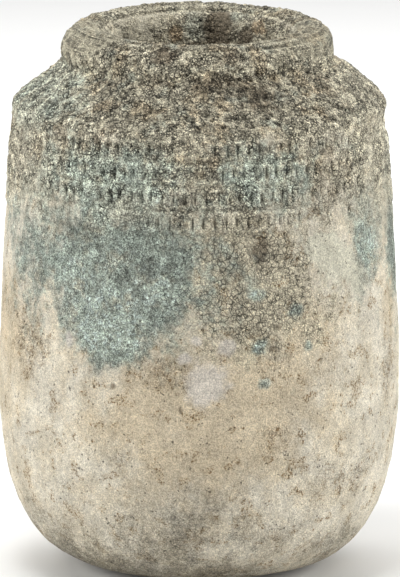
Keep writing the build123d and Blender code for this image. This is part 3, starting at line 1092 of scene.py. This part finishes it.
class JAR_OT_rim(Operator):
    """Gives the rolled rim and the throat ring their thickness"""

    bl_idname = "jar.rim"
    bl_label = "Rim and throat"

    def execute(self, context):
        sizes = context.scene.jar_sizes
        lip_r = (sizes.throat_radius + sizes.rim_radius) / 2
        lip_z = top("throat_ring")
        seat = bottom("rim_roll")
        finish_piece("rim_roll", [(lip_r, seat), (lip_r, lip_z)])
        flange = reach("throat_ring") - FLANGE_STEP
        path = [(lip_r, lip_z), (lip_r, seat), (flange, seat), (THROAT_RADIUS, bottom("throat_ring"))]
        finish_piece("throat_ring", path)
        return {"FINISHED"}


FLOOR_SIZE = 14  # metres
SENSOR = 36  # width of the camera's sensor in millimetres
AIM = 0.25  # height of the point that the lights face, in metres
# Each soft light's name, place, width and height in metres, power in watts, and whether it
# shines straight down
LIGHTS = (
    ("side_left", (-2.2, -0.75, 1.0), (1.1, 1.6), 36.7, False),
    ("side_right", (2.2, -0.75, 1.0), (1.1, 1.6), 36.5, False),
    ("overhead", (-0.3, -0.6, 2.6), (0.9, 0.9), 27, False),
    ("backdrop", (0.0, 1.9, 2.0), (4.0, 1.8), 70, True),
)


class JAR_OT_stage(Operator):
    """Adds the floor, the lights and the camera"""

    bl_idname = "jar.stage"
    bl_label = "Stage"

    def execute(self, context):
        finish, stage = context.scene.jar_finish, context.scene.jar_stage
        bpy.ops.object.select_all(action="DESELECT")
        bpy.ops.mesh.primitive_plane_add(size=FLOOR_SIZE)
        floor = context.object
        floor.name = "studio_floor"
        floor.data.materials.append(plain_material("studio_floor", finish.floor))
        for light in LIGHTS:
            add_light(*light)
        world = bpy.data.worlds.new("studio")
        context.scene.world = world
        world.use_nodes = True
        backdrop = world.node_tree.nodes["Background"]
        backdrop.inputs["Color"].default_value = (1, 1, 1, 1)
        backdrop.inputs["Strength"].default_value = 0.2
        back = stage.distance * math.cos(stage.elevation)
        rise = stage.target + stage.distance * math.sin(stage.elevation)
        bpy.ops.object.camera_add(
            location=(stage.shift, -back, rise), rotation=(math.pi / 2 - stage.elevation, 0, 0)
        )
        camera = context.object
        camera.data.sensor_width = SENSOR
        camera.data.lens = SENSOR * stage.distance / stage.frame_height
        camera.data.clip_end = 100
        context.scene.camera = camera
        context.scene.view_settings.view_transform = "Standard"
        return {"FINISHED"}


def plain_material(name, tint):
    """Matt seamless paper with a faint tooth."""
    material = bpy.data.materials.new(name)
    material.use_nodes = True
    g = Graph(material.node_tree)
    shader = material.node_tree.nodes["Principled BSDF"]
    where = g.put("ShaderNodeTexCoord").outputs["Object"]
    tone = g.mix(g.noise(where, 0.4, 2), tuple(tint), tuple(c * 0.99 for c in tint[:3]) + (1,))
    material.node_tree.links.new(tone, shader.inputs["Base Color"])
    shader.inputs["Roughness"].default_value = 0.9
    return material


def add_light(name, location, size, power, downward):
    """A soft rectangular light that faces the middle of the jar or the floor below it."""
    bpy.ops.object.light_add(type="AREA", location=location)
    light = bpy.context.object
    light.name = name
    light.data.shape = "RECTANGLE"
    light.data.size, light.data.size_y = size
    light.data.energy = power
    if downward:
        return
    x, y, z = location
    light.rotation_euler = (math.atan2(math.hypot(x, y), z - AIM), 0, math.atan2(y, x) + math.pi / 2)


OPERATORS = (
    JAR_OT_stage,
    JAR_OT_skin,
    JAR_OT_base,
    JAR_OT_wall,
    JAR_OT_shoulder,
    JAR_OT_cordon,
    JAR_OT_strips,
    JAR_OT_rim,
)


class JAR_PT_panel(Panel):
    bl_label = "Storage jar"
    bl_idname = "JAR_PT_panel"
    bl_space_type = "VIEW_3D"
    bl_region_type = "UI"
    bl_category = "Jar"

    def draw(self, context):
        scene = context.scene
        for group in (scene.jar_sizes, scene.jar_finish, scene.jar_stage):
            box = self.layout.box()
            for name in group.__annotations__:
                box.prop(group, name)
        for operator in OPERATORS:
            self.layout.operator(operator.bl_idname)


CLASSES = (JarSizes, JarFinish, JarStage) + OPERATORS + (JAR_PT_panel,)


def register():
    for cls in CLASSES:
        bpy.utils.register_class(cls)
    bpy.types.Scene.jar_sizes = PointerProperty(type=JarSizes)
    bpy.types.Scene.jar_finish = PointerProperty(type=JarFinish)
    bpy.types.Scene.jar_stage = PointerProperty(type=JarStage)


def unregister():
    del bpy.types.Scene.jar_stage
    del bpy.types.Scene.jar_finish
    del bpy.types.Scene.jar_sizes
    for cls in reversed(CLASSES):
        bpy.utils.unregister_class(cls)


def main():
    register()
    bpy.ops.jar.stage()
    bpy.ops.jar.skin()
    bpy.ops.jar.base()
    bpy.ops.jar.wall()
    bpy.ops.jar.shoulder()
    bpy.ops.jar.cordon()
    bpy.ops.jar.strips()
    bpy.ops.jar.rim()


if __name__ == "__main__":
    main()
